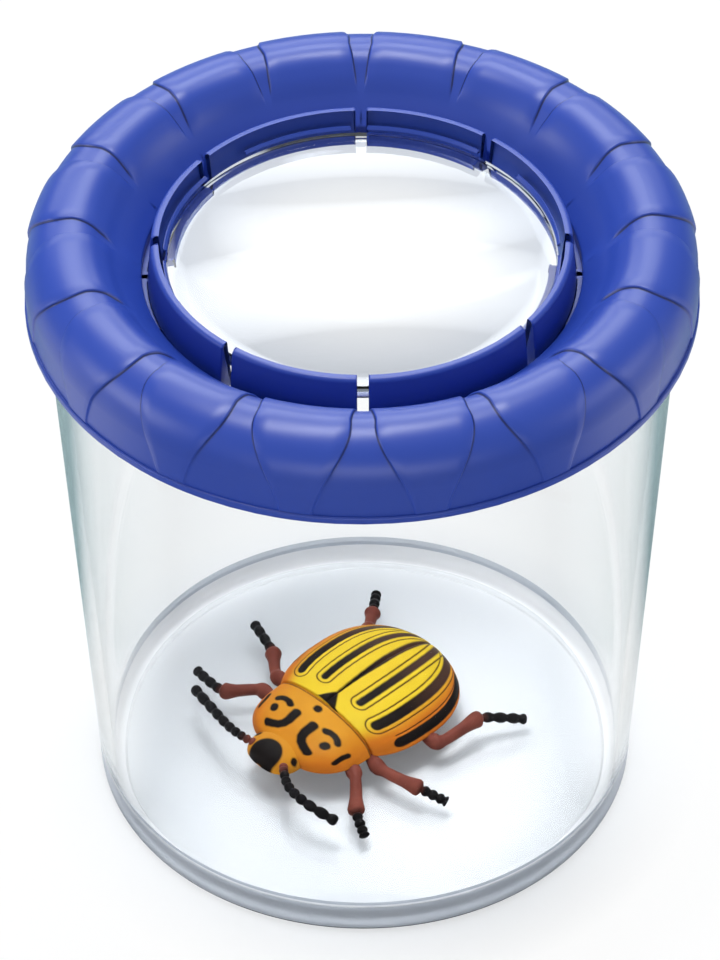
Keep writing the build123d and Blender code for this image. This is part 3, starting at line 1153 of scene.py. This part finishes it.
def table_material():
    """White table. Near the jar it takes shadows in full; further out it goes to plain white.

    Reflections see it darker in front of the jar and behind it, which keeps the clear wall's edges dark.
    """
    material = bpy.data.materials.new("white_table")
    material.use_nodes = True
    tree = material.node_tree
    tree.nodes.clear()
    path = tree.nodes.new("ShaderNodeLightPath")
    place = tree.nodes.new("ShaderNodeTexCoord").outputs["Object"]
    heading = tree.nodes.new("ShaderNodeVectorMath")
    heading.operation = "NORMALIZE"
    tree.links.new(place, heading.inputs[0])
    split = tree.nodes.new("ShaderNodeSeparateXYZ")
    tree.links.new(heading.outputs[0], split.inputs[0])
    past_front = ranged(tree, split.outputs["Y"], 0.0, 1.0, *front_headings)
    behind = ranged(tree, split.outputs["Y"], 0.0, 1.0, *behind_headings)
    reflected = seen_reflected(tree, path)
    through = seen_through(tree, path)
    mirrored = mixed(tree, past_front, table_front, table_white)
    mirrored = mixed(tree, behind, mirrored, table_behind)
    colour = mixed(tree, reflected, table_white, mirrored)
    colour = mixed(tree, through, colour, table_through)
    diffuse = tree.nodes.new("ShaderNodeBsdfDiffuse")
    tree.links.new(colour, diffuse.inputs["Color"])

    # Plain white: how much by distance from the jar, for rays that should see it
    beside = combined(tree, "SUBTRACT", past_front, behind)
    seen = combined(tree, "MAXIMUM", path.outputs["Is Camera Ray"], through)
    seen = combined(tree, "MAXIMUM", seen, combined(tree, "MULTIPLY", reflected, beside))
    distance = tree.nodes.new("ShaderNodeVectorMath")
    distance.operation = "LENGTH"
    tree.links.new(place, distance.inputs[0])
    near = ranged(tree, distance.outputs["Value"], 0.05, 0.92, *near_white)
    far = ranged(tree, distance.outputs["Value"], 0.0, 1.0, *far_white)
    whitened = combined(tree, "MAXIMUM", near, far)
    glow = tree.nodes.new("ShaderNodeEmission")
    mix = tree.nodes.new("ShaderNodeMixShader")
    output = tree.nodes.new("ShaderNodeOutputMaterial")
    tree.links.new(combined(tree, "MULTIPLY", seen, whitened), mix.inputs[0])
    tree.links.new(diffuse.outputs[0], mix.inputs[1])
    tree.links.new(glow.outputs[0], mix.inputs[2])
    tree.links.new(mix.outputs[0], output.inputs["Surface"])
    return material


def make_floor():
    """The table that the jar stands on, a hair below its foot."""
    mesh = bpy.data.meshes.new("floor")
    corners = [(-1, -1, 0), (1, -1, 0), (1, 1, 0), (-1, 1, 0)]
    mesh.from_pydata([(table_half * x, table_half * y, z) for x, y, z in corners], [], [(0, 1, 2, 3)])
    mesh.materials.append(table_material())
    floor = add_object("floor", mesh)
    floor.location = (0, 0, -table_drop * MM)


def make_world():
    """Soft room light: pale above, greyer near the horizon, white where the camera sees it."""
    world = bpy.data.worlds.new("studio")
    bpy.context.scene.world = world
    world.use_nodes = True
    tree = world.node_tree
    coords = tree.nodes.new("ShaderNodeTexCoord")
    split = tree.nodes.new("ShaderNodeSeparateXYZ")
    tree.links.new(coords.outputs["Generated"], split.inputs[0])
    ramp = tree.nodes.new("ShaderNodeValToRGB")
    ramp.color_ramp.elements[0].color = (*room_low, 1)
    ramp.color_ramp.elements[1].color = (*room_high, 1)
    tree.links.new(split.outputs["Z"], ramp.inputs["Fac"])
    path = tree.nodes.new("ShaderNodeLightPath")
    through = mixed(tree, seen_through(tree, path), ramp.outputs["Color"], room_through)
    colour = mixed(tree, path.outputs["Is Camera Ray"], through, (1.0, 1.0, 1.0))
    tree.links.new(colour, tree.nodes["Background"].inputs["Color"])


def make_lamp(name, place, size, power, colour=(1.0, 1.0, 1.0)):
    """Soft rectangular lamp that fades to its edges, at a place in millimetres, turned to the jar."""
    lamp = bpy.data.lights.new(name, "AREA")
    lamp.shape = "RECTANGLE"
    lamp.size = size[0] * MM
    lamp.size_y = size[1] * MM
    lamp.energy = power
    lamp.color = colour
    lamp.use_nodes = True
    tree = lamp.node_tree
    place_on_lamp = tree.nodes.new("ShaderNodeNewGeometry").outputs["Parametric"]
    split = tree.nodes.new("ShaderNodeSeparateXYZ")
    tree.links.new(place_on_lamp, split.inputs[0])
    fades = []
    for axis in ("X", "Y"):
        curve = tree.nodes.new("ShaderNodeFloatCurve")
        points = curve.mapping.curves[0].points
        points[0].location = (0, 0)
        points[1].location = (1, 0)
        points.new(0.25, 0.8)
        points.new(0.5, 1)
        points.new(0.75, 0.8)
        curve.mapping.update()
        tree.links.new(split.outputs[axis], curve.inputs["Value"])
        fades.append(curve.outputs[0])
    strength = ranged(tree, combined(tree, "MULTIPLY", *fades), 0.0, 1.8)
    tree.links.new(strength, tree.nodes["Emission"].inputs["Strength"])
    holder = add_object(name, lamp)
    holder.location = Vector(place) * MM
    holder.rotation_euler = (Vector(lamp_aim) - Vector(place)).to_track_quat("-Z", "Y").to_euler()


def make_lamps():
    """Main lights from behind and above, with weaker fills from the front and sides."""
    cool = (0.95, 0.985, 1.0)
    make_lamp("back_light", (-40, 395, 517), (620, 200), 1.7, cool)
    make_lamp("low_back_light", (-60, 640, 290), (900, 170), 1.2, cool)
    make_lamp("top_light", (-40, 60, 640), (460, 130), 2.1)
    make_lamp("left_fill", (-560, -120, 220), (400, 300), 0.9)
    make_lamp("right_fill", (560, -60, 220), (400, 300), 0.5)
    make_lamp("front_fill", (0, -700, 140), (1000, 300), 1.2)


def make_camera():
    """Camera at the photo's viewpoint."""
    data = bpy.data.cameras.new("camera")
    data.lens = camera_lens
    data.sensor_width = sensor_width
    camera = add_object("camera", data)
    elevation = math.radians(camera_elevation)
    forward = Vector((0, math.cos(elevation), -math.sin(elevation)))
    tilt = Matrix.Rotation(math.radians(camera_roll), 3, -forward)
    right = tilt @ Vector((1, 0, 0))
    over = right.cross(forward)
    turn = Matrix((right, over, -forward)).transposed().to_4x4()
    place = Matrix.Translation((Vector(camera_aim) - forward * camera_distance) * MM)
    camera.matrix_world = place @ turn
    bpy.context.scene.camera = camera


make_camera()
make_floor()
make_world()
make_lamps()
make_cup()
make_lid()
make_lens()
make_beetle()
bpy.context.scene.view_settings.view_transform = "Standard"
